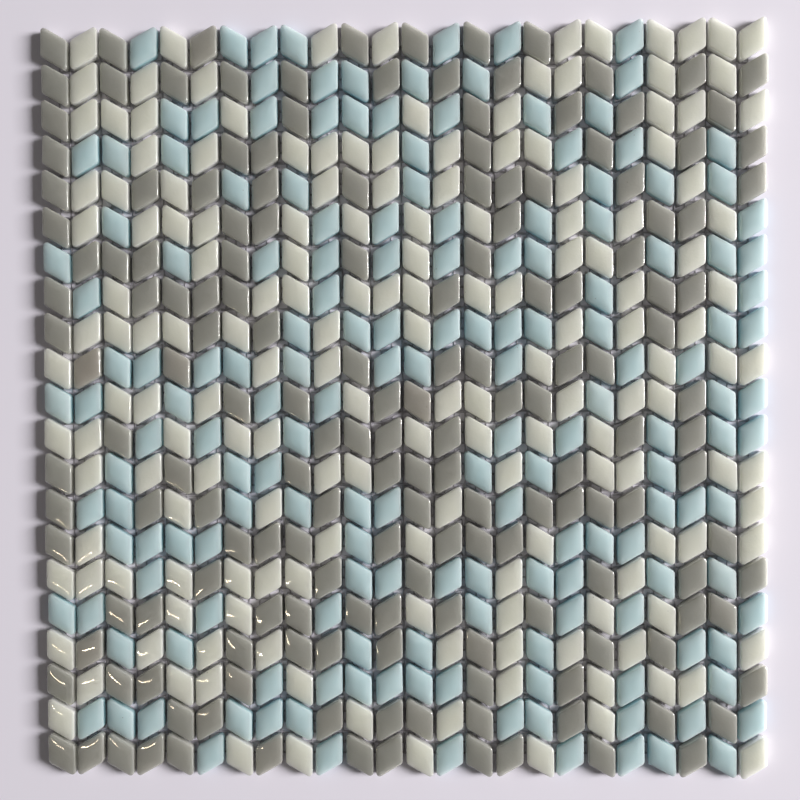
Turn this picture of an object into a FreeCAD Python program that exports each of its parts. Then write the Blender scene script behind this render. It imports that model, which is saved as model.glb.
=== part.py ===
"""A sheet of chevron mosaic: rhombus glass chips glued to a flat net of fibreglass strands.

The sheet lies face up on the floor. The origin is under its middle, on the floor, with +X across the
upright columns of chips, +Y up along them and +Z towards the face.
"""

import FreeCAD
import Part

import math
import os
import random

from FreeCAD import Vector

# Driving dimensions, in millimetres and degrees

# the chip: a rhombus with two upright sides
CHIP_SIDE = 12.0
CHIP_ACUTE_ANGLE = 60.0
CHIP_THICKNESS = 4.0
ACUTE_CORNER_RADIUS = 1.2
OBTUSE_CORNER_RADIUS = 1.5
EDGE_ROUNDING = 1.0
WALL_DRAFT_ANGLE = 3.0

# the layout: upright columns, neighbours sloping opposite ways
COLUMNS = 24
ROWS = 21
COLUMN_JOINT = 1.5
ROW_JOINT = 1.73
COLUMNS_IN_A_STRIP = 2

# how far off its place a chip was laid, as a standard deviation and a limit
LAY_SHIFT = 0.16
LAY_SHIFT_LIMIT = 0.4
LAY_TURN = 0.5
LAY_TURN_LIMIT = 1.5
LAY_SEED = 504

# the colour blend: even shares, with repeats beside and below a little rarer than chance
COLOURS = ("grey", "cream", "blue")
REPEAT_WEIGHT = 0.72
BLEND_SEED = 60

# the net under the chips: crossways strands lie on lengthways ones
STRAND_PITCH = 4.1
STRAND_WIDTH = 1.0
STRAND_THICKNESS = 0.2
NET_INSET_SIDES = 5.6
NET_INSET_ENDS = 8.5

# Worked out from them

CHIP_WIDTH = CHIP_SIDE * math.sin(math.radians(CHIP_ACUTE_ANGLE))
CHIP_RISE = CHIP_SIDE * math.cos(math.radians(CHIP_ACUTE_ANGLE))
COLUMN_PITCH = CHIP_WIDTH + COLUMN_JOINT
ROW_PITCH = CHIP_SIDE + ROW_JOINT / math.sin(math.radians(CHIP_ACUTE_ANGLE))
SHEET_WIDTH = (COLUMNS - 1) * COLUMN_PITCH + CHIP_WIDTH
SHEET_HEIGHT = (ROWS - 1) * ROW_PITCH + CHIP_SIDE + CHIP_RISE
NET_THICKNESS = 2 * STRAND_THICKNESS


def chip_outline(inset, height):
    """The rounded rhombus at a height, its sides drawn in by the inset about the same corner centres."""
    side = CHIP_SIDE - 2 * inset / math.sin(math.radians(CHIP_ACUTE_ANGLE))
    half_width = side * math.sin(math.radians(CHIP_ACUTE_ANGLE)) / 2
    half_rise = side * math.cos(math.radians(CHIP_ACUTE_ANGLE)) / 2
    corners = [
        (Vector(-half_width, side / 2 + half_rise, height), ACUTE_CORNER_RADIUS - inset),
        (Vector(-half_width, half_rise - side / 2, height), OBTUSE_CORNER_RADIUS - inset),
        (Vector(half_width, -side / 2 - half_rise, height), ACUTE_CORNER_RADIUS - inset),
        (Vector(half_width, side / 2 - half_rise, height), OBTUSE_CORNER_RADIUS - inset),
    ]
    arcs = []
    for i, (corner, radius) in enumerate(corners):
        before = (corners[i - 1][0] - corner).normalize()
        after = (corners[(i + 1) % 4][0] - corner).normalize()
        half_angle = before.getAngle(after) / 2
        along = radius / math.tan(half_angle)
        inward = (before + after).normalize()
        middle = corner + inward * (radius / math.sin(half_angle) - radius)
        arcs.append((corner + before * along, middle, corner + after * along))
    edges = []
    for i, (start, middle, end) in enumerate(arcs):
        edges.append(Part.Arc(start, middle, end).toShape())
        edges.append(Part.LineSegment(end, arcs[(i + 1) % 4][0]).toShape())
    return Part.Wire(edges)


def chip():
    """One chip about its own middle, its back at height 0, sloping down to the right.

    The walls lean in towards the back, and the edge of the face is rounded.
    """
    back_inset = CHIP_THICKNESS * math.tan(math.radians(WALL_DRAFT_ANGLE))
    back = chip_outline(back_inset, 0)
    face = chip_outline(0, CHIP_THICKNESS)
    blank = Part.makeLoft([back, face], True, True)
    rounding = min(EDGE_ROUNDING, 0.9 * ACUTE_CORNER_RADIUS, 0.9 * OBTUSE_CORNER_RADIUS)
    face_edges = [edge for edge in blank.Edges if edge.BoundBox.ZMin > CHIP_THICKNESS / 2]
    return blank.makeFillet(rounding, face_edges)


def blend():
    """The colour of each chip by (row, column), drawn from equal stocks of the three colours."""
    dice = random.Random(BLEND_SEED)
    stock = {colour: ROWS * COLUMNS / len(COLOURS) for colour in COLOURS}
    colours = {}
    for row in range(ROWS):
        for column in range(COLUMNS):
            neighbours = (colours.get((row - 1, column)), colours.get((row, column - 1)))
            weights = [
                max(stock[colour], 0) * REPEAT_WEIGHT ** neighbours.count(colour) for colour in COLOURS
            ]
            drawn = dice.choices(COLOURS, weights)[0]
            stock[drawn] -= 1
            colours[row, column] = drawn
    return colours


def off(dice, deviation, limit):
    """A chance error about zero, cut at its limit."""
    return max(-limit, min(limit, dice.gauss(0, deviation)))


def laid_chips():
    """Every chip in its place on the net, as a solid by (row, column)."""
    slopes_down = chip()
    slopes_up = slopes_down.mirror(Vector(0, 0, 0), Vector(1, 0, 0))
    dice = random.Random(LAY_SEED)
    laid = {}
    for row in range(ROWS):
        for column in range(COLUMNS):
            one = (slopes_down if column % 2 == 0 else slopes_up).copy()
            one.rotate(Vector(0, 0, 0), Vector(0, 0, 1), off(dice, LAY_TURN, LAY_TURN_LIMIT))
            across = (column - (COLUMNS - 1) / 2) * COLUMN_PITCH + off(dice, LAY_SHIFT, LAY_SHIFT_LIMIT)
            up = ((ROWS - 1) / 2 - row) * ROW_PITCH + off(dice, LAY_SHIFT, LAY_SHIFT_LIMIT)
            one.translate(Vector(across, up, NET_THICKNESS))
            laid[row, column] = one
    return laid


def strands(run, spread, floor, lengthways):
    """Flat parallel strands, each as long as the run, shared out over the spread."""
    count = 2 * int(spread / STRAND_PITCH / 2) + 1
    pitch = (spread - STRAND_WIDTH) / (count - 1)
    solids = []
    for i in range(count):
        near = (i - (count - 1) / 2) * pitch - STRAND_WIDTH / 2
        if lengthways:
            strand = Part.makeBox(STRAND_WIDTH, run, STRAND_THICKNESS, Vector(near, -run / 2, floor))
        else:
            strand = Part.makeBox(run, STRAND_WIDTH, STRAND_THICKNESS, Vector(-run / 2, near, floor))
        solids.append(strand)
    return solids


def save(node, solids):
    """Write a node's solids as one file."""
    Part.makeCompound(solids).exportStep("parts/" + node + ".step")


def save_chips():
    """The chips, one node for each colour in each upright chevron strip."""
    laid = laid_chips()
    colours = blend()
    for first in range(0, COLUMNS, COLUMNS_IN_A_STRIP):
        strip = "chevron_strip_%02d" % (first // COLUMNS_IN_A_STRIP + 1)
        for colour in COLOURS:
            chips = [
                laid[row, column]
                for row in range(ROWS)
                for column in range(first, first + COLUMNS_IN_A_STRIP)
                if colours[row, column] == colour
            ]
            save(strip + "_" + colour + "_chips", chips)


def save_net():
    """The net: lengthways strands on the floor, and crossways ones on them, under the chips' backs."""
    width = SHEET_WIDTH - 2 * NET_INSET_SIDES
    height = SHEET_HEIGHT - 2 * NET_INSET_ENDS
    save("net_lengthways_strands", strands(height, width, 0, True))
    save("net_crossways_strands", strands(width, height, STRAND_THICKNESS, False))


os.makedirs("parts", exist_ok=True)
save_chips()
save_net()
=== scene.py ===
"""How a sheet of chevron mosaic looks: pressed glass chips glued face up on a fibreglass net.

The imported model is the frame. Each node of plain chips is read for where its chips lie, and crowned glass
chips replace it there. The two layers of net strands are replaced by woven ones of the same runs, with the
glue that holds the chips to them.
"""

import logging
import math
import random
from dataclasses import dataclass
from enum import Enum

import bpy
from bpy.types import Light, Material, Mesh, Node, NodeSocket, NodeTree, Object
from mathutils import Matrix, Vector
from mathutils.geometry import convex_hull_2d


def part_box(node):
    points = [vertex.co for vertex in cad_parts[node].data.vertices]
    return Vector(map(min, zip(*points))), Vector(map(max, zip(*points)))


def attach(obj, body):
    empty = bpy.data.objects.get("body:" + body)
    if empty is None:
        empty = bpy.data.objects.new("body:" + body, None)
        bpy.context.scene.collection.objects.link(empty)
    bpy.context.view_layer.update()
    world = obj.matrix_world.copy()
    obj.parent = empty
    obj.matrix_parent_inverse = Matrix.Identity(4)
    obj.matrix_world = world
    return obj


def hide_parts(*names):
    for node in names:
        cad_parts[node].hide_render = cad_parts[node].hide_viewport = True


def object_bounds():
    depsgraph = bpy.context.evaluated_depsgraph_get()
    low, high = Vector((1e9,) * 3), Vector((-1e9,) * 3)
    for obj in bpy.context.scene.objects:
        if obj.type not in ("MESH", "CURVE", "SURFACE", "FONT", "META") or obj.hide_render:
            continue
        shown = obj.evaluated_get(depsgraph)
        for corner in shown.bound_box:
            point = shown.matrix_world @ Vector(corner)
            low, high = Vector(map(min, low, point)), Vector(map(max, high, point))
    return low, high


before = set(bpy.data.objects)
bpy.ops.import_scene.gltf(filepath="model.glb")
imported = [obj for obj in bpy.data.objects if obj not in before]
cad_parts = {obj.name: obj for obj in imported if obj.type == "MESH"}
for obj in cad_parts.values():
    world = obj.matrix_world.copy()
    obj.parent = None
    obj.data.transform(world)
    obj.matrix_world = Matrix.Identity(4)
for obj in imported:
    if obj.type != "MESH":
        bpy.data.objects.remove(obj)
CAD_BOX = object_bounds()

MM = 0.001
LOG = logging.getLogger("mosaic")

# a colour Mix node's sockets: what it mixes, and what comes out
MIX_FROM = 6
MIX_TO = 7
MIX_OUT = 2


# Colours and nodes


def linear(hex_colour: str) -> tuple[float, ...]:
    """Turn an sRGB hex colour to linear.

    Args:
        hex_colour: six hex digits, such as "e0d8e2".

    Returns:
        Red, green, blue and an alpha of 1.
    """
    channels = [int(hex_colour[i : i + 2], 16) / 255 for i in (0, 2, 4)]
    return (*(c / 12.92 if c <= 0.04045 else ((c + 0.055) / 1.055) ** 2.4 for c in channels), 1.0)


def add_node(
    tree: NodeTree,
    kind: str,
    inputs: dict[str | int, object] | None = None,
    settings: dict[str, object] | None = None,
) -> Node:
    """Add a node with its settings, values and links.

    Args:
        tree: the material's node tree.
        kind: the node's type name.
        inputs: for each input socket, a value or the output socket that feeds it.
        settings: attributes of the node itself.

    Returns:
        The new node.
    """
    node = tree.nodes.new(kind)
    for name, value in (settings or {}).items():
        setattr(node, name, value)
    for name, value in (inputs or {}).items():
        socket = node.inputs[name]
        if isinstance(value, NodeSocket):
            tree.links.new(value, socket)
        else:
            socket.default_value = value
    return node


def new_material(name: str) -> tuple[Material, NodeTree]:
    """Make an empty node material.

    Args:
        name: the material's name.

    Returns:
        The material and its node tree.
    """
    material = bpy.data.materials.new(name)
    material.use_nodes = True
    material.node_tree.nodes.clear()
    return material, material.node_tree


# Pieces


class Draft:
    """A mesh in the making, of closed skins over rings of points. Points are in metres."""

    def __init__(self) -> None:
        """Start with nothing."""
        self.vertices: list[Vector] = []
        self.faces: list[tuple[int, ...]] = []

    def add_skin(self, rings: list[list[Vector]], flip: bool, peak: Vector | None = None) -> None:
        """Join rings into a closed skin.

        Args:
            rings: with the same number of points each, the first of them the bottom.
            flip: whether they run clockwise, seen from the last one's side.
            peak: where the skin closes over the last ring, which otherwise gets one flat face.
        """
        first = len(self.vertices)
        count = len(rings[0])
        for ring in rings:
            self.vertices.extend(ring)
        last = len(self.vertices) - count
        faces = [tuple(range(first + count - 1, first - 1, -1))]
        for low in range(first, last, count):
            for i in range(count):
                near, far = low + i, low + (i + 1) % count
                faces.append((near, far, far + count, near + count))
        if peak is None:
            faces.append(tuple(range(last, last + count)))
        else:
            self.vertices.append(peak)
            faces.extend((last + i, last + (i + 1) % count, last + count) for i in range(count))
        self.faces.extend(face[::-1] if flip else face for face in faces)

    def piece(self, name: str, material: Material) -> Object:
        """Make it a smooth-shaded object.

        Args:
            name: the object's and its mesh's.
            material: its material.

        Returns:
            The object, in the scene.
        """
        mesh = bpy.data.meshes.new(name)
        mesh.from_pydata(self.vertices, [], self.faces)
        mesh.shade_smooth()
        mesh.materials.append(material)
        piece = bpy.data.objects.new(name, mesh)
        bpy.context.scene.collection.objects.link(piece)
        return piece


def within_sheet(across: float, up: float) -> tuple[float, float]:
    """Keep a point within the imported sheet, seen from above.

    Args:
        across: its X, in metres.
        up: its Y, in metres.

    Returns:
        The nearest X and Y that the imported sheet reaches.
    """
    low, high = CAD_BOX
    return min(high[0], max(low[0], across)), min(high[1], max(low[1], up))


# The glass


@dataclass(frozen=True)
class Face:
    """How a glass's face came out of the mould and the fire. Lengths are in millimetres.

    Fire-polishing lets the crown sink and leaves the edge crisp. An etched face keeps a fuller crown and
    has a softer edge.

    Attributes:
        crown: how much the middle stands above the sides.
        crown_power: how flat the middle of the crown is.
        roll_width: how far in from the side the edge begins to roll over.
        roll_depth: how far down the roll goes.
    """

    crown: float
    crown_power: float
    roll_width: float
    roll_depth: float


@dataclass(frozen=True)
class PressedGlass:
    """Opal glass, pressed in a mould and fire-polished or etched.

    The glass is milky, so light that comes in at one side of a chip shows a little way into it. The milk
    just under the face gives a broad haze, and over it a polished face adds a clear skin that mirrors lamps
    as thin streaks, broken by the ripples and pits of the pressing. An etched face has no such skin.

    Attributes:
        name: the material's name.
        slot: the name of the record's material slot for this glass. Nothing here uses it.
        body: the usual colour, sRGB.
        dark: the colour of the darkest chips.
        warm: the colour of the chips that were fired a little browner.
        wall: the colour painted on the walls, sRGB. It is painted light and shade: paler than the
        body on the milkier glasses, for the glow of light coming through them, and deeper on the
        blue one, for the teal shade down in the joints.
        face: the shape of its face.
        haze: the roughness of the milky face under any skin.
        polish: how much of the clear skin there is, from 0 to 1.
        ripple_mm: how far apart the ripples of the face are.
        ripple: how strongly they turn the light.
        ripple_depth_mm: how deep the ripples are.
        bleed_mm: the shader's scale for how far light wanders in the glass. Its random walk uses about a
            thirteenth of it, so this is a mean path of 1.4 mm.
        bleed_tint: how far red, green and blue light get, as shares of that.
        polish_roughness: of the clear skin.
        grit: the colour of the specks.
        speck_mm: how large they are. Real ones are finer, and wouldn't show.
        speck_spacing_mm: how far apart they are.
        speck_strength: how much of the grit's colour shows through the milk.
    """

    name: str
    slot: str
    body: str
    dark: str
    warm: str
    wall: str
    face: Face
    haze: float = 0.45
    polish: float = 1.0
    ripple_mm: float = 1.0
    ripple: float = 0.9
    ripple_depth_mm: float = 0.05
    bleed_mm: float = 18.0
    bleed_tint: tuple[float, float, float] = (1.0, 1.0, 0.95)
    polish_roughness: float = 0.035
    grit: str = "5a564e"
    speck_mm: float = 0.45
    speck_spacing_mm: float = 9.0
    speck_strength: float = 0.5

    def material(self) -> Material:
        """Build the glass.

        Returns:
            The material. Each chip's tone comes from the attributes "tone" and "warmth" of its mesh, and
            "wall" is 1 on its walls, where the painted light and shade of the wall colour goes.
        """
        material, tree = new_material(self.name)
        place = add_node(tree, "ShaderNodeTexCoord")
        toned = self.tinted(tree, "tone", linear(self.body), self.dark)
        warmed = self.tinted(tree, "warmth", toned, self.warm)
        speckled = self.with_specks(tree, place.outputs["Object"], warmed)
        # painted light and shade: the wall colour laid over the walls and the foot of the roll
        with_wall_light_and_shade = self.tinted(tree, "wall", speckled, self.wall)
        ripples = add_node(
            tree,
            "ShaderNodeTexNoise",
            {"Vector": place.outputs["Object"], "Scale": 1 / (self.ripple_mm * MM)},
        )
        bump = add_node(
            tree,
            "ShaderNodeBump",
            {
                "Height": ripples.outputs["Fac"],
                "Strength": self.ripple,
                "Distance": self.ripple_depth_mm * MM,
            },
        )
        shader = add_node(
            tree,
            "ShaderNodeBsdfPrincipled",
            {
                "Base Color": with_wall_light_and_shade,
                "Roughness": self.haze,
                "IOR": 1.5,
                "Coat Weight": self.polish,
                "Coat Roughness": self.polish_roughness,
                "Subsurface Weight": 1.0,
                "Subsurface Radius": self.bleed_tint,
                "Subsurface Scale": self.bleed_mm * MM,
                "Normal": bump.outputs["Normal"],
            },
            {"subsurface_method": "RANDOM_WALK"},
        )
        add_node(tree, "ShaderNodeOutputMaterial", {"Surface": shader.outputs[0]})
        return material

    def tinted(self, tree: NodeTree, word: str, colour: object, other: str) -> NodeSocket:
        """Mix a colour with another by an attribute of the mesh.

        Args:
            tree: the material's node tree.
            word: the attribute, which is 0 for the first colour and 1 for the other.
            colour: the first colour, as linear values or a socket.
            other: the other, as sRGB.

        Returns:
            The mixed colour.
        """
        share = add_node(tree, "ShaderNodeAttribute", settings={"attribute_name": word})
        inputs = {"Factor": share.outputs["Fac"], MIX_FROM: colour, MIX_TO: linear(other)}
        return add_node(tree, "ShaderNodeMix", inputs, {"data_type": "RGBA"}).outputs[MIX_OUT]

    def with_specks(self, tree: NodeTree, place: NodeSocket, colour: NodeSocket) -> NodeSocket:
        """Add the few small dark specks of unmelted grit that lie in the glass.

        Args:
            tree: the material's node tree.
            place: the coordinates.
            colour: the colour of the clean glass.

        Returns:
            The colour with its specks.
        """
        scale = 1 / (self.speck_spacing_mm * MM)
        cells = add_node(tree, "ShaderNodeTexVoronoi", {"Vector": place, "Scale": scale})
        reach = self.speck_mm / self.speck_spacing_mm / 2
        near = add_node(
            tree, "ShaderNodeMath", {0: cells.outputs["Distance"], 1: reach}, {"operation": "LESS_THAN"}
        )
        faint = add_node(
            tree, "ShaderNodeMath", {0: near.outputs[0], 1: self.speck_strength}, {"operation": "MULTIPLY"}
        )
        inputs = {"Factor": faint.outputs[0], MIX_FROM: colour, MIX_TO: linear(self.grit)}
        return add_node(tree, "ShaderNodeMix", inputs, {"data_type": "RGBA"}).outputs[MIX_OUT]


class Glass(Enum):
    """The three glasses of the blend, by the colour word in their nodes' names."""

    GREY = "grey"
    CREAM = "cream"
    BLUE = "blue"

    def finish(self) -> PressedGlass:
        """The glass's finish."""
        return GLASSES[self]


GLASSES = {
    Glass.GREY: PressedGlass(
        name="fire-polished warm grey opal glass",
        slot="grey_glass",
        body="90908a",
        dark="878781",
        warm="958d85",
        # paler walls: painted glow of light coming through the glass
        wall="aeaea6",
        face=Face(crown=0.36, crown_power=2.4, roll_width=0.5, roll_depth=0.5),
    ),
    Glass.CREAM: PressedGlass(
        name="fire-polished cream opal glass",
        slot="cream_glass",
        body="dfe1cc",
        dark="d7d9c4",
        warm="e1ddc7",
        # paler walls: painted glow of light coming through the glass
        wall="f2f3e4",
        face=Face(crown=0.34, crown_power=2.4, roll_width=0.5, roll_depth=0.5),
    ),
    Glass.BLUE: PressedGlass(
        name="acid-etched pale blue opal glass",
        slot="blue_glass",
        body="afccd2",
        dark="a7c4ca",
        warm="b4ccce",
        # deeper walls: painted teal shade down in the joints
        wall="98c0cb",
        face=Face(crown=0.8, crown_power=2.85, roll_width=0.56, roll_depth=0.62),
        haze=0.6,
        polish=0.0,
        ripple_mm=1.2,
        ripple=0.12,
    ),
}


# The chips

# rings of points below the rolled edge: the back's, the bend in its worn edge, and the foot of the wall
WALL_RINGS = 3


@dataclass(frozen=True)
class LaidChip:
    """Where one chip lies: its middle, its turn from the upright, and which way it slopes."""

    middle: Vector
    turn: float
    slopes_down: bool


@dataclass
class ChipMould:
    """The mould that shapes every chip. Lengths are in millimetres, angles in degrees.

    The outline is a rhombus with two upright sides and round corners. From the back, the walls lean out to
    the edge of the face, which rolls over in a quarter of an ellipse and goes on into a shallow crown. The
    crown is a pillow: nearly flat in the middle, and steeper towards each side.

    Attributes:
        side, acute_angle: of the rhombus.
        acute_radius, obtuse_radius: how round its corners are.
        corner_growth: how much rounder the corners of the face get towards its middle.
        roundest: the most that they get, as a share of what would make a circle.
        wall_draft: how far the walls lean in towards the back.
        back_edge: how far in and up the worn edge of the back goes.
        back_edge_bend: where that edge bends, as shares of it inwards and upwards.
        nub: how far the mark of the gate stands out of a corner.
        nub_levels: how much of it there is at each ring, from the foot of the wall up.
        nub_flank: how much of it there is beside its tip.
        roll_steps: rings over the rolled edge.
        crown_steps: where the rings of the crown are, from the roll at 0 to the middle at 1.
        wall_light_reach: how much of the roll has some of the wall's painted light and shade.
        acute_steps, obtuse_steps: parts of each corner's arc.
        side_steps: parts of a straight side.
    """

    side: float = 12.15
    acute_angle: float = 60.0
    acute_radius: float = 1.3
    obtuse_radius: float = 1.6
    corner_growth: float = 0.6
    roundest: float = 0.92
    wall_draft: float = 0.5
    back_edge: float = 0.25
    back_edge_bend: tuple[float, float] = (0.25, 0.3)
    nub: float = 0.45
    nub_levels: tuple[float, ...] = (0.25, 1.0, 0.8, 0.35)
    nub_flank: float = 0.35
    roll_steps: int = 6
    crown_steps: tuple[float, ...] = (0.12, 0.28, 0.46, 0.66, 0.84)
    wall_light_reach: float = 1 / 3
    acute_steps: int = 6
    obtuse_steps: int = 4
    side_steps: int = 4

    @property
    def inradius(self) -> float:
        """From the middle to each side."""
        return self.side * math.sin(math.radians(self.acute_angle)) / 2

    @property
    def corner_steps(self) -> tuple[int, int, int, int]:
        """Into how many parts the arc of each corner is divided."""
        return (self.acute_steps, self.obtuse_steps) * 2

    def outline(self, inset: float, concentric: bool) -> list[Vector]:
        """One ring of points, the same number at every inset.

        Args:
            inset: how far the sides are drawn in.
            concentric: whether the corners keep their centres, as on the walls. On the face they get
                rounder towards the middle.

        Returns:
            Points in order, with the height left at 0.
        """
        angle = math.radians(self.acute_angle)
        side = self.side - 2 * inset / math.sin(angle)
        half_width = side * math.sin(angle) / 2
        half_rise = side * math.cos(angle) / 2
        corners = (
            Vector((-half_width, side / 2 + half_rise, 0)),
            Vector((-half_width, half_rise - side / 2, 0)),
            Vector((half_width, -side / 2 - half_rise, 0)),
            Vector((half_width, side / 2 - half_rise, 0)),
        )
        radii = (self.acute_radius, self.obtuse_radius) * 2
        left = self.inradius - inset
        ring: list[Vector] = []
        for i, (corner, full_radius, steps) in enumerate(zip(corners, radii, self.corner_steps)):
            before = (corners[i - 1] - corner).normalized()
            after = (corners[(i + 1) % 4] - corner).normalized()
            half = before.angle(after) / 2
            if concentric:
                radius = full_radius - inset
            else:
                share = full_radius / self.inradius + self.corner_growth * inset / self.inradius
                radius = left * min(self.roundest, share)
            centre = corner + (before + after).normalized() * radius / math.sin(half)
            spoke = corner + before * radius / math.tan(half) - centre
            sweep = math.pi - 2 * half
            for step in range(steps + 1):
                turned = Matrix.Rotation(sweep * step / steps, 3, "Z") @ spoke
                ring.append(centre + turned)
        return self.with_side_points(ring)

    def with_side_points(self, ring: list[Vector]) -> list[Vector]:
        """Share out points along the four straight sides too.

        Args:
            ring: the points of the corners' arcs.

        Returns:
            The full ring.
        """
        ends = []
        count = 0
        for steps in self.corner_steps:
            count += steps + 1
            ends.append(count - 1)
        full: list[Vector] = []
        for i, point in enumerate(ring):
            full.append(point)
            if i in ends:
                following = ring[(i + 1) % len(ring)]
                for step in range(1, self.side_steps):
                    full.append(point.lerp(following, step / self.side_steps))
        return full

    def rings(self, thickness: float, face: Face) -> list[list[Vector]]:
        """All rings from the back's to the last one of the face.

        Args:
            thickness: of the chip at its middle.
            face: the shape of its face.

        Returns:
            Lists of points, heights counted from the back.
        """
        lean = math.tan(math.radians(self.wall_draft))
        top_of_wall = thickness - face.crown - face.roll_depth
        back = top_of_wall * lean
        bend_in, bend_up = self.back_edge_bend
        walls = (
            (back + self.back_edge, 0.0),
            (back + bend_in * self.back_edge, bend_up * self.back_edge),
            (back - self.back_edge * lean, self.back_edge),
        )
        rings = [[Vector((p.x, p.y, height)) for p in self.outline(inset, True)] for inset, height in walls]
        over = []
        for step in range(self.roll_steps + 1):
            roll = math.radians(90 * step / self.roll_steps)
            over.append((face.roll_width * (1 - math.cos(roll)), face.roll_depth * math.sin(roll)))
        for share in self.crown_steps:
            over.append((face.roll_width + share * (self.inradius - face.roll_width), face.roll_depth))
        for inset, height in over:
            level = top_of_wall + height
            rings.append(
                [Vector((p.x, p.y, level + self.crowned(p, face))) for p in self.outline(inset, False)]
            )
        return rings

    def wall_light_shares(self, points: int) -> list[float]:
        """How much of the wall's painted light and shade each of a chip's points gets.

        Args:
            points: how many points the chip has.

        Returns:
            Values from 1 on the walls to 0 on the face, in the order of the rings and then the peak.
        """
        around = sum(self.corner_steps) + len(self.corner_steps) * self.side_steps
        shares = [1.0] * (WALL_RINGS * around)
        for step in range(self.roll_steps + 1):
            # the painted wall light and shade fades out over the lower part of the roll
            shares += [max(0.0, 1 - step / (self.roll_steps * self.wall_light_reach))] * around
        return shares + [0.0] * (points - len(shares))

    def with_nub(self, rings: list[list[Vector]], corner: int) -> None:
        """Pull a nub, the mark of the gate that the glass was poured through, out of an obtuse corner.

        Args:
            rings: the chip's rings, which are changed.
            corner: which obtuse corner, 1 or 3.
        """
        at = sum(self.corner_steps[:corner]) + corner * self.side_steps + self.corner_steps[corner] // 2
        for level, pull in enumerate(self.nub_levels, start=WALL_RINGS - 1):
            for beside, share in ((-1, self.nub_flank), (0, 1.0), (1, self.nub_flank)):
                point = rings[level][at + beside]
                out = Vector((point.x, point.y, 0)).normalized()
                rings[level][at + beside] = point + out * (self.nub * pull * share)

    def crowned(self, point: Vector, face: Face) -> float:
        """Work out how much the crown adds at a point of the face.

        Args:
            point: where, from the chip's middle.
            face: the shape of its face.

        Returns:
            A height.
        """
        across = min(1.0, abs(point.x) / self.inradius)
        slant = math.tan(math.radians(90 - self.acute_angle))
        up = min(1.0, abs(point.y + point.x * slant) / (self.side / 2))
        return face.crown * (1 - across**face.crown_power) * (1 - up**face.crown_power)


@dataclass
class ChipLayer:
    """All the chips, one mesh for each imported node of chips.

    Lengths are in millimetres and angles in degrees.

    Attributes:
        mould: what shapes the chips.
        seed: of the chance differences between them.
        tilt: how far a chip's face leans, as a standard deviation.
        tilt_limit: the most that it leans.
        headroom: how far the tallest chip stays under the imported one's face.
        height_spread: how much lower the lowest chip is.
        tone: how far the usual chip is from the body colour to the dark one.
        tone_spread: the standard deviation of that.
        warm_share: how many of the chips were fired browner.
        warm_rest: the most that any other chip is browner.
        nub_share: how many of the chips have a nub.
    """

    mould: ChipMould
    seed: int = 21
    tilt: float = 0.4
    tilt_limit: float = 1.0
    headroom: float = 0.03
    height_spread: float = 0.08
    tone: float = 0.4
    tone_spread: float = 0.3
    warm_share: float = 0.04
    warm_rest: float = 0.12
    nub_share: float = 0.04

    def build(self) -> list[Object]:
        """Replace each node of plain chips.

        Returns:
            The new pieces.
        """
        materials = {glass: glass.finish().material() for glass in Glass}
        pieces = []
        for name, node in sorted(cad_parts.items()):
            for glass in Glass:
                if name.endswith(f"_{glass.value}_chips"):
                    pieces.append(self.pressed(name, node, glass, materials[glass]))
        return pieces

    def pressed(self, name: str, node: Object, glass: Glass, material: Material) -> Object:
        """The glass chips of one node.

        Args:
            name: the node's name.
            node: its object.
            glass: which glass its chips are of.
            material: that glass.

        Returns:
            The piece, riding and standing for the node.
        """
        low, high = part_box(name)
        thickness = (high.z - low.z) / MM
        finish = glass.finish()
        dice = random.Random(f"{self.seed} {name}")
        draft = Draft()
        tones: list[float] = []
        warmths: list[float] = []
        walls: list[float] = []
        for chip in laid_chips(node):
            before = len(draft.vertices)
            self.add_chip(draft, chip, finish.face, thickness, low.z, dice)
            added = len(draft.vertices) - before
            # each point's share of the painted wall light and shade
            walls += self.mould.wall_light_shares(added)
            tones += [min(1.0, max(0.0, dice.gauss(self.tone, self.tone_spread)))] * added
            browned = dice.random() < self.warm_share
            warmths += [dice.random() * (1.0 if browned else self.warm_rest)] * added
        piece = draft.piece(name + "_glass", material)
        for word, values in (("tone", tones), ("warmth", warmths), ("wall", walls)):
            piece.data.attributes.new(word, "FLOAT", "POINT").data.foreach_set("value", values)
        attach(piece, "root")
        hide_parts(name)
        return piece

    def add_chip(
        self,
        draft: Draft,
        chip: LaidChip,
        face: Face,
        thickness: float,
        floor: float,
        dice: random.Random,
    ) -> None:
        """Add one chip.

        Args:
            draft: the mesh of the piece so far.
            chip: where the chip lies.
            face: the shape of its face.
            thickness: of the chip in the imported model, in millimetres.
            floor: the height of its back, in metres.
            dice: what makes each chip a little different.
        """
        tall = thickness - self.headroom - dice.random() * self.height_spread
        rings = self.mould.rings(tall, face)
        if dice.random() < self.nub_share:
            self.mould.with_nub(rings, dice.choice((1, 3)))
        mirror = 1 if chip.slopes_down else -1
        turn = Matrix.Rotation(chip.turn, 3, "Z")
        limit = self.tilt_limit
        lean = Vector([math.radians(min(limit, max(-limit, dice.gauss(0, self.tilt)))) for _ in "xy"])

        def laid(point: Vector) -> Vector:
            """Put a point of the mould in its place on the sheet.

            Args:
                point: in millimetres, from the middle of the chip's back.

            Returns:
                The point in metres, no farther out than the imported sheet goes.
            """
            lifted = point.z * (1 + (lean.x * point.x + lean.y * point.y) / tall)
            flat = turn @ Vector((mirror * point.x, point.y, 0))
            across, up = within_sheet(chip.middle.x + flat.x * MM, chip.middle.y + flat.y * MM)
            return Vector((across, up, floor + lifted * MM))

        laid_rings = [[laid(point) for point in ring] for ring in rings]
        draft.add_skin(laid_rings, mirror < 0, laid(Vector((0, 0, tall))))


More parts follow.
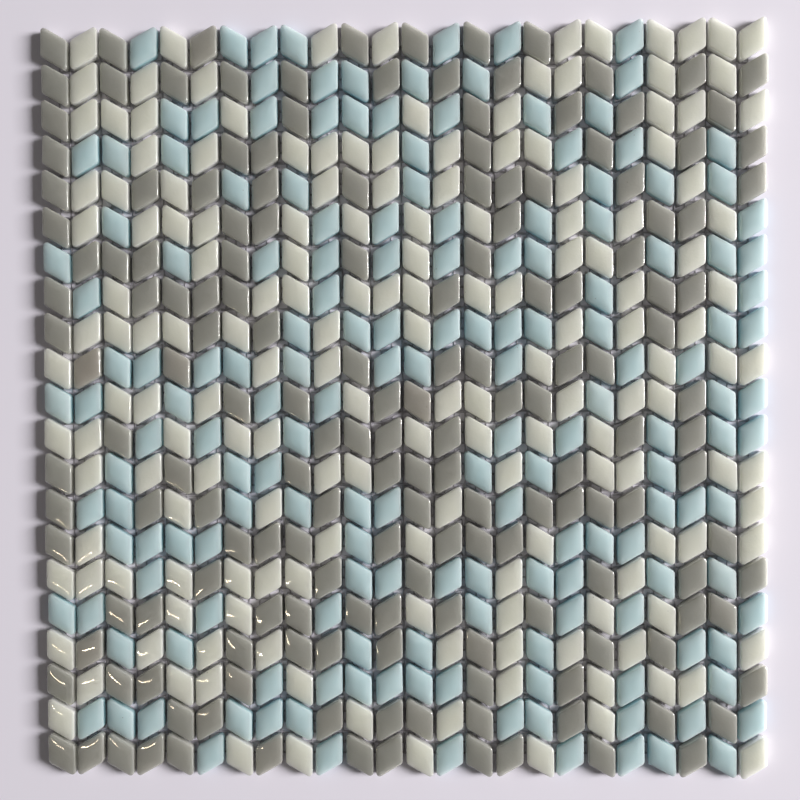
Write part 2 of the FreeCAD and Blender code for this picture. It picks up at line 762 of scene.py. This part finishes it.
def laid_chips(node: Object) -> list[LaidChip]:
    """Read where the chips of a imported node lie.

    Args:
        node: a node of plain chips.

    Returns:
        The chips, each with its middle, turn and slope from the moments of its outline.
    """
    chips = []
    for points in solids(node.data):
        hull = [points[i] for i in convex_hull_2d(points)]
        middle, axis = centre_and_axis(hull)
        slopes_down = axis > math.pi / 2
        upright = math.radians(120 if slopes_down else 60)
        chips.append(LaidChip(middle, axis - upright, slopes_down))
    return chips


def solids(mesh: Mesh) -> list[list[Vector]]:
    """Sort the points of a mesh by the solid that they belong to.

    Args:
        mesh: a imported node's, where touching faces may not share their points.

    Returns:
        For each solid, its points seen from above.
    """
    leaders: dict[tuple[int, ...], int] = {}
    same = [leaders.setdefault(tuple(round(c * 1e7) for c in v.co), v.index) for v in mesh.vertices]
    parent = list(range(len(same)))

    def leader(index: int) -> int:
        """Find the vertex that stands for a vertex's solid.

        Args:
            index: the vertex.

        Returns:
            The same vertex for every one of the solid.
        """
        while parent[index] != index:
            parent[index] = parent[parent[index]]
            index = parent[index]
        return index

    for edge in mesh.edges:
        one, other = (leader(same[i]) for i in edge.vertices)
        parent[max(one, other)] = min(one, other)
    groups: dict[int, list[Vector]] = {}
    for vertex in mesh.vertices:
        groups.setdefault(leader(same[vertex.index]), []).append(vertex.co.to_2d())
    return [groups[key] for key in sorted(groups)]


def centre_and_axis(hull: list[Vector]) -> tuple[Vector, float]:
    """The centre of an outline's area, and the direction of its long axis.

    Args:
        hull: the outline's corners in order.

    Returns:
        The centre, and an angle from 0 to pi.
    """
    area = across = up = 0.0
    for i, here in enumerate(hull):
        ahead = hull[(i + 1) % len(hull)]
        cross = here.cross(ahead)
        area += cross / 2
        across += (here.x + ahead.x) * cross / 6
        up += (here.y + ahead.y) * cross / 6
    middle = Vector((across / area, up / area))
    xx = yy = xy = 0.0
    for i, corner in enumerate(hull):
        here = corner - middle
        ahead = hull[(i + 1) % len(hull)] - middle
        cross = here.cross(ahead)
        xx += (here.x * here.x + here.x * ahead.x + ahead.x * ahead.x) * cross
        yy += (here.y * here.y + here.y * ahead.y + ahead.y * ahead.y) * cross
        xy += (2 * here.x * here.y + here.x * ahead.y + ahead.x * here.y + 2 * ahead.x * ahead.y) * cross
    return middle, (math.atan2(xy, xx - yy) / 2) % math.pi


# The net and its glue


@dataclass(frozen=True)
class GlassFibre:
    """Woven glass-fibre yarn, stiffened with resin.

    The resin gives the white yarn a soft shine, and its filaments run along it. They are drawn coarser than
    they are, so that they show.

    Attributes:
        name: the material's name.
        crossways: whether the yarn runs along X rather than Y.
        colour: of the filaments that stand out, sRGB.
        shaded: the colour between them.
        shading: where the pattern goes from one to the other.
        filament_mm: how wide a bundle of filaments is.
        run_mm: how far one can be followed.
        depth_mm: how far they stand out.
    """

    name: str
    crossways: bool
    colour: str = "b4b0bb"
    shaded: str = "95919c"
    shading: tuple[float, float] = (0.35, 0.6)
    filament_mm: float = 0.22
    run_mm: float = 6.0
    depth_mm: float = 0.05

    def material(self) -> Material:
        """Build the yarn's material.

        Returns:
            The material.
        """
        material, tree = new_material(self.name)
        place = add_node(tree, "ShaderNodeTexCoord")
        along, across = 1 / (self.run_mm * MM), 1 / (self.filament_mm * MM)
        scale = (along, across, across) if self.crossways else (across, along, across)
        stretched = add_node(
            tree, "ShaderNodeMapping", {"Vector": place.outputs["Object"], "Scale": scale}
        )
        filaments = add_node(
            tree,
            "ShaderNodeTexNoise",
            {"Vector": stretched.outputs["Vector"], "Scale": 1.0, "Detail": 1.0},
        )
        ramp = add_node(tree, "ShaderNodeValToRGB", {"Fac": filaments.outputs["Fac"]})
        colours = (self.shaded, self.colour)
        for stop, position, colour in zip(ramp.color_ramp.elements, self.shading, colours):
            stop.position = position
            stop.color = linear(colour)
        bump = add_node(
            tree,
            "ShaderNodeBump",
            {"Height": filaments.outputs["Fac"], "Strength": 0.5, "Distance": self.depth_mm * MM},
        )
        shader = add_node(
            tree,
            "ShaderNodeBsdfPrincipled",
            {
                "Base Color": ramp.outputs["Color"],
                "Roughness": 0.55,
                "IOR": 1.5,
                "Normal": bump.outputs["Normal"],
            },
        )
        add_node(tree, "ShaderNodeOutputMaterial", {"Surface": shader.outputs[0]})
        return material


@dataclass(frozen=True)
class DriedGlue:
    """White tile glue, dabbed on and dried: milky, a little see-through, with a skin that shines softly.

    Attributes:
        name: the material's name.
        colour: where it is thick, sRGB.
        thin: where it is thin and the yarn's shadow shows through.
        lump_mm: how far apart its lumps are.
        lump_depth_mm: how high they are.
        bleed_mm: the shader's scale for how far light wanders in it.
        roughness: of its skin.
    """

    name: str = "dried white glue"
    colour: str = "b3b1ba"
    thin: str = "99979f"
    lump_mm: float = 1.5
    lump_depth_mm: float = 0.1
    bleed_mm: float = 0.8
    roughness: float = 0.38

    def material(self) -> Material:
        """Build the glue's material.

        Returns:
            The material.
        """
        material, tree = new_material(self.name)
        place = add_node(tree, "ShaderNodeTexCoord")
        skin = add_node(
            tree,
            "ShaderNodeTexNoise",
            {"Vector": place.outputs["Object"], "Scale": 1 / (self.lump_mm * MM), "Detail": 3.0},
        )
        ramp = add_node(tree, "ShaderNodeValToRGB", {"Fac": skin.outputs["Fac"]})
        for stop, colour in zip(ramp.color_ramp.elements, (self.thin, self.colour)):
            stop.color = linear(colour)
        bump = add_node(
            tree,
            "ShaderNodeBump",
            {"Height": skin.outputs["Fac"], "Strength": 0.4, "Distance": self.lump_depth_mm * MM},
        )
        shader = add_node(
            tree,
            "ShaderNodeBsdfPrincipled",
            {
                "Base Color": ramp.outputs["Color"],
                "Roughness": self.roughness,
                "IOR": 1.47,
                "Subsurface Weight": 0.4,
                "Subsurface Radius": (1.0, 1.0, 1.0),
                "Subsurface Scale": self.bleed_mm * MM,
                "Normal": bump.outputs["Normal"],
            },
        )
        add_node(tree, "ShaderNodeOutputMaterial", {"Surface": shader.outputs[0]})
        return material


@dataclass
class WovenNet:
    """The net: flat crossways yarns, each held between the two yarns of every lengthways pair.

    Lengths are in millimetres. In each lengthways pair one yarn passes over every crossways yarn and the
    other under it, and they change sides between one crossing and the next.

    Attributes:
        flat_thickness: of a crossways yarn.
        flat_widths: its least and greatest width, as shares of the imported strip's.
        flat_sides: how many sides its section has.
        wander: how far it strays sideways, as a standard deviation.
        pair_offset: how far each yarn of a pair is from the pair's middle at a crossing.
        pair_width, pair_thickness: of each yarn of a pair.
        pair_sides: how many sides its section has.
        pair_rise: how much of its swing a yarn keeps where the two change sides.
        seed: of the wandering.
    """

    flat_thickness: float = 0.15
    flat_widths: tuple[float, float] = (0.8, 1.1)
    flat_sides: int = 6
    wander: float = 0.12
    pair_offset: float = 0.24
    pair_width: float = 0.5
    pair_thickness: float = 0.16
    pair_sides: int = 5
    pair_rise: float = 0.3
    seed: int = 7

    def build(self) -> list[Object]:
        """Weave the net.

        Returns:
            The crossways yarns, and the upper and lower yarns of the lengthways pairs.
        """
        low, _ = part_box("net_lengthways_strands")
        _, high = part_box("net_crossways_strands")
        middle = (low.z + high.z) / 2 / MM
        swing = (high.z - low.z) / 2 / MM - self.pair_thickness / 2
        flats = strand_boxes(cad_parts["net_crossways_strands"])
        pairs = strand_boxes(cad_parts["net_lengthways_strands"])
        dice = random.Random(self.seed)
        rows = [(flat[0].y + flat[1].y) / 2 / MM for flat in flats]
        crossways = GlassFibre("woven glass-fibre yarn, crossways", True).material()
        lengthways = GlassFibre("woven glass-fibre yarn, lengthways", False).material()
        piece = self.crossways_yarns(flats, pairs, middle, dice, crossways)
        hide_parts("net_crossways_strands")
        upper = self.paired_yarns("upper", pairs, rows, middle, swing, lengthways)
        lower = self.paired_yarns("lower", pairs, rows, middle, -swing, lengthways)
        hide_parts("net_lengthways_strands")
        return [piece, upper, lower]

    def crossways_yarns(
        self,
        flats: list[tuple[Vector, Vector]],
        pairs: list[tuple[Vector, Vector]],
        middle: float,
        dice: random.Random,
        material: Material,
    ) -> Object:
        """Lay the flat yarns, which wander a little between the pairs that hold them.

        Args:
            flats: the lowest and highest corner of each crossways strand.
            pairs: the same for each lengthways strand.
            middle: the height of the flat yarns' middle.
            dice: what makes them wander.
            material: the yarn's.

        Returns:
            The piece.
        """
        yarns = Yarns(self.flat_sides)
        for low, high in flats:
            width = (high.y - low.y) / MM
            centre = (low.y + high.y) / 2 / MM
            path = [Vector((low.x / MM, centre, middle))]
            for held in pairs[1:-1]:
                across = (held[0].x + held[1].x) / 2 / MM
                path.append(Vector((across, centre + dice.gauss(0, self.wander), middle)))
            path.append(Vector((high.x / MM, centre, middle)))
            widths = [width * dice.uniform(*self.flat_widths) for _ in path]
            yarns.add(path, widths, self.flat_thickness, Vector((0, 1, 0)))
        return net_piece(yarns, "net_crossways_yarns", material)

    def paired_yarns(
        self,
        word: str,
        pairs: list[tuple[Vector, Vector]],
        rows: list[float],
        middle: float,
        swing: float,
        material: Material,
    ) -> Object:
        """Weave the upper or the lower yarn of every pair.

        Args:
            word: which, for the piece's name.
            pairs: the lowest and highest corner of each lengthways strand.
            rows: where the crossways yarns are.
            middle: the height of their middle.
            swing: how far above it the yarn passes them, or below it if negative.
            material: the yarn's.

        Returns:
            The piece.
        """
        yarns = Yarns(self.pair_sides)
        for number, (low, high) in enumerate(pairs):
            centre = (low.x + high.x) / 2 / MM
            side = math.copysign(self.pair_offset, swing) * (1 if number % 2 else -1)
            path = [Vector((centre + side, low.y / MM, middle + swing))]
            for row, ahead in zip(rows, rows[1:]):
                path.append(Vector((centre + side, row, middle + swing)))
                path.append(Vector((centre, (row + ahead) / 2, middle + self.pair_rise * swing)))
                side = -side
            path.append(Vector((centre + side, rows[-1], middle + swing)))
            path.append(Vector((centre + side, high.y / MM, middle + swing)))
            yarns.add(path, [self.pair_width] * len(path), self.pair_thickness, Vector((1, 0, 0)))
        return net_piece(yarns, f"net_lengthways_yarns_{word}", material)


class Yarns(Draft):
    """A mesh of many flat-oval yarns, each swept along its path. Lengths are in millimetres."""

    def __init__(self, sides: int) -> None:
        """Start with no yarn, and this many sides to each one's section."""
        super().__init__()
        self.sides = sides

    def add(self, path: list[Vector], widths: list[float], thickness: float, across: Vector) -> None:
        """Sweep one yarn.

        Args:
            path: the yarn's middle line.
            widths: its width at each point.
            thickness: its height.
            across: the direction of its width.
        """
        angles = [2 * math.pi * (side + 0.5) / self.sides for side in range(self.sides)]
        rings = []
        for point, width in zip(path, widths):
            ring = []
            for angle in angles:
                rim = across * (math.cos(angle) * width / 2)
                rim = rim + Vector((0, 0, math.sin(angle) * thickness / 2))
                ring.append((point + rim) * MM)
            rings.append(ring)
        self.add_skin(rings, across.x > 0)


def net_piece(draft: Draft, name: str, material: Material) -> Object:
    """Make a mesh a piece of the net.

    Args:
        draft: the mesh.
        name: the piece's name.
        material: its material.

    Returns:
        The piece.
    """
    piece = draft.piece(name, material)
    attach(piece, "root")
    return piece


def strand_boxes(node: Object) -> list[tuple[Vector, Vector]]:
    """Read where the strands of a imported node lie.

    Args:
        node: a node of net strands.

    Returns:
        The lowest and highest corner of each, seen from above, in order across the net.
    """
    boxes = []
    for points in solids(node.data):
        low = Vector((min(p.x for p in points), min(p.y for p in points)))
        high = Vector((max(p.x for p in points), max(p.y for p in points)))
        boxes.append((low, high))
    return sorted(boxes, key=lambda box: (round(box[0].x, 6), round(box[0].y, 6)))


@dataclass
class GlueDabs:
    """A dab of glue under each chip, pressed out here and there into the joints.

    Lengths are in millimetres.

    Attributes:
        mould: the chips'.
        share: how much of the chip's length and width a dab has.
        outer_share: the same for the chips at the edge of the sheet.
        raggedness: how uneven its rim is.
        pointedness: the power of its outline, which is a rhombus at 1 and an ellipse at 2.
        cling: how far it comes up the chip's back.
        bottom: how far it stays off the floor.
        rim_height: where it is widest.
        rim_reach: how wide it is at the bottom and the top, of its full width.
        waves: how many waves round the rim each part of its unevenness has.
        points: how many points there are round it.
        seed: of the unevenness.
    """

    mould: ChipMould
    share: float = 0.98
    outer_share: float = 0.84
    raggedness: float = 0.05
    pointedness: float = 1.15
    cling: float = 0.02
    bottom: float = 0.07
    rim_height: float = 0.3
    rim_reach: float = 0.9
    waves: tuple[int, ...] = (1, 2, 3, 5)
    points: int = 22
    seed: int = 31

    def build(self) -> Object:
        """Dab the glue on.

        Returns:
            One piece with every dab.
        """
        _, net_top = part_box("net_crossways_strands")
        top = net_top.z / MM + self.cling
        dice = random.Random(self.seed)
        draft = Draft()
        for name, node in sorted(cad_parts.items()):
            if name.endswith("_chips"):
                for chip in laid_chips(node):
                    self.add_dab(draft, chip, top, dice)
        return net_piece(draft, "glue_dabs", DriedGlue().material())

    def add_dab(self, draft: Draft, chip: LaidChip, top: float, dice: random.Random) -> None:
        """Add one ragged dab, a low cake whose rim slopes, under a chip.

        Args:
            draft: the mesh of the piece so far.
            chip: where the chip lies.
            top: the height of the dab's top.
            dice: what makes each dab uneven in its own way.
        """
        slope = math.radians(120 if chip.slopes_down else 60) + chip.turn
        low, high = CAD_BOX
        room = min(min(chip.middle[i] - low[i], high[i] - chip.middle[i]) for i in (0, 1))
        share = self.outer_share if room < self.mould.side * MM else self.share
        long_half = self.mould.side * math.cos(math.radians(self.mould.acute_angle / 2)) * share
        short_half = self.mould.side * math.sin(math.radians(self.mould.acute_angle / 2)) * share
        waves = [
            (count, dice.uniform(0, 2 * math.pi), dice.gauss(0, self.raggedness / count))
            for count in self.waves
        ]
        rings = []
        levels = ((self.bottom, self.rim_reach), (self.rim_height, 1.0), (top, self.rim_reach))
        for height, reach in levels:
            ring = []
            for i in range(self.points):
                angle = 2 * math.pi * i / self.points
                wave = sum(size * math.sin(count * angle + phase) for count, phase, size in waves)
                power = sum(abs(part) ** self.pointedness for part in (math.cos(angle), math.sin(angle)))
                length = reach * (1 + wave) / power ** (1 / self.pointedness)
                along, across = long_half * length * math.cos(angle), short_half * length * math.sin(angle)
                x = along * math.cos(slope) - across * math.sin(slope)
                y = along * math.sin(slope) + across * math.cos(slope)
                east, north = within_sheet(chip.middle.x + x * MM, chip.middle.y + y * MM)
                ring.append(Vector((east, north, height * MM)))
            rings.append(ring)
        draft.add_skin(rings, False)


# The stage


@dataclass
class Studio:
    """The surface the sheet lies on, a window to its right, the room, and the camera above.

    Lengths are in metres and angles in degrees. Lights shine with the same radiance whatever their size.

    Attributes:
        camera_place: the camera's.
        camera_turn: how it is turned from looking straight down with +Y up, about X, Y and Z.
        focal_share: its focal length, as a share of its sensor's width.
        floor_reach: how far the floor goes from the middle.
        floor_colour: sRGB, as are the other colours.
        window_elevation: how high the window is, seen from the sheet.
        window_azimuth: how far it is round from +X.
        lamp_direction: from its target to the lamp.
        lamp_target: the point that it faces.
        room_light: what the room's walls give back.
        room_colour: what they look like beyond the floor.
    """

    camera_place: tuple[float, float, float] = (0.00595, 0.00475, 0.31762)
    camera_turn: tuple[float, float, float] = (0.744, -1.256, 0.343)
    focal_share: float = 1.0
    sensor_mm: float = 36.0
    floor_reach: float = 3.0
    floor_colour: str = "e4e0ed"
    floor_roughness: float = 0.7
    window_colour: str = "fffdfa"
    window_radiance: float = 51.5
    window_size: tuple[float, float] = (1.6, 2.05)
    window_distance: float = 5.4
    window_elevation: float = 26.5
    window_azimuth: float = 6.5
    lamp_colour: str = "ffeccb"
    lamp_radiance: float = 60.0
    lamp_size: tuple[float, float] = (0.6, 0.026)
    lamp_direction: tuple[float, float, float] = (-0.39, -0.28, 0.88)
    lamp_distance: float = 2.4
    lamp_target: tuple[float, float, float] = (-0.152, -0.094, 0.0)
    room_light: str = "ebe7de"
    room_strength: float = 0.15
    room_colour: str = "d6d1da"

    def build(self) -> None:
        """Lay the floor, light it and set the camera."""
        self.lay_floor()
        self.open_window()
        self.light_room()
        self.hang_lamp()
        self.set_camera()
        view = bpy.context.scene.view_settings
        view.view_transform = "Standard"
        view.look = "None"

    def lay_floor(self) -> None:
        """Lay a wide pale surface at height 0."""
        material, tree = new_material("pale lavender paper")
        shader = add_node(
            tree,
            "ShaderNodeBsdfPrincipled",
            {"Base Color": linear(self.floor_colour), "Roughness": self.floor_roughness},
        )
        add_node(tree, "ShaderNodeOutputMaterial", {"Surface": shader.outputs[0]})
        sheet = Draft()
        for x, y in ((-1, -1), (1, -1), (1, 1), (-1, 1)):
            sheet.vertices.append(Vector((x, y, 0)) * self.floor_reach)
        sheet.faces.append((0, 1, 2, 3))
        sheet.piece("pale_surface", material)

    def open_window(self) -> None:
        """Open the soft window light at the right."""
        light = self.strip("window", self.window_size, self.window_radiance, self.window_colour)
        lift, side = math.radians(self.window_elevation), math.radians(self.window_azimuth)
        away = Vector((math.cos(lift) * math.cos(side), math.cos(lift) * math.sin(side), math.sin(lift)))
        self.place_light(light, away * self.window_distance, Vector((0, 0, 0)), Vector((0, 1, 0)))

    def hang_lamp(self) -> None:
        """Hang a warm strip lamp beyond the lower left, which shows only as streaks in polished glass."""
        light = self.strip("strip_lamp", self.lamp_size, self.lamp_radiance, self.lamp_colour)
        away = Vector(self.lamp_direction).normalized() * self.lamp_distance
        lamp = self.place_light(light, away, Vector(self.lamp_target), Vector((1, 0, 0)))
        lamp.visible_diffuse = False

    def strip(self, name: str, size: tuple[float, float], radiance: float, colour: str) -> Light:
        """Make a rectangular light.

        Args:
            name: the light's name.
            size: its width and height.
            radiance: how bright it is to look at.
            colour: sRGB.

        Returns:
            The light.
        """
        light = bpy.data.lights.new(name, "AREA")
        light.shape = "RECTANGLE"
        light.size, light.size_y = size
        light.energy = radiance * math.pi * light.size * light.size_y
        light.color = linear(colour)[:3]
        return light

    def place_light(self, light: Light, away: Vector, target: Vector, wide: Vector) -> Object:
        """Hang a light facing its target.

        Args:
            light: the light.
            away: from the target to the light.
            target: what it faces.
            wide: the direction of its width, as near as can be.

        Returns:
            The light's object.
        """
        lamp = bpy.data.objects.new(light.name, light)
        facing = away.normalized()
        along = (wide - facing * wide.dot(facing)).normalized()
        turn = Matrix((along, facing.cross(along), facing)).transposed()
        lamp.matrix_world = Matrix.Translation(target + away) @ turn.to_4x4()
        lamp.visible_camera = False
        bpy.context.scene.collection.objects.link(lamp)
        return lamp

    def light_room(self) -> None:
        """Light the room, which fills the shadows weakly but is pale to look at, beyond the floor."""
        world = bpy.data.worlds.new("pale_room")
        bpy.context.scene.world = world
        world.use_nodes = True
        tree = world.node_tree
        tree.nodes.clear()
        fill = add_node(
            tree,
            "ShaderNodeBackground",
            {"Color": linear(self.room_light), "Strength": self.room_strength},
        )
        wall = add_node(tree, "ShaderNodeBackground", {"Color": linear(self.room_colour)})
        path = add_node(tree, "ShaderNodeLightPath")
        seen = add_node(tree, "ShaderNodeMixShader", {"Fac": path.outputs["Is Camera Ray"]})
        tree.links.new(fill.outputs[0], seen.inputs[1])
        tree.links.new(wall.outputs[0], seen.inputs[2])
        add_node(tree, "ShaderNodeOutputWorld", {"Surface": seen.outputs[0]})

    def set_camera(self) -> None:
        """Set the camera nearly straight above."""
        data = bpy.data.cameras.new("phone_camera")
        data.sensor_width = self.sensor_mm
        data.lens = self.sensor_mm * self.focal_share
        data.clip_start = 0.01
        camera = bpy.data.objects.new("phone_camera", data)
        turn = Vector(self.camera_turn)
        looking = Matrix.Rotation(math.radians(turn.length), 4, turn.normalized()).transposed()
        camera.matrix_world = Matrix.Translation(self.camera_place) @ looking
        bpy.context.scene.collection.objects.link(camera)
        bpy.context.scene.camera = camera


def main() -> None:
    """Build the chips, the net and the stage, and report each piece."""
    logging.basicConfig(level=logging.INFO, format="%(name)s: %(message)s")
    mould = ChipMould()
    pieces = ChipLayer(mould).build() + WovenNet().build() + [GlueDabs(mould).build()]
    for piece in pieces:
        LOG.info("%s: %d faces", piece.name, len(piece.data.polygons))
    Studio().build()


if __name__ == "__main__":
    main()
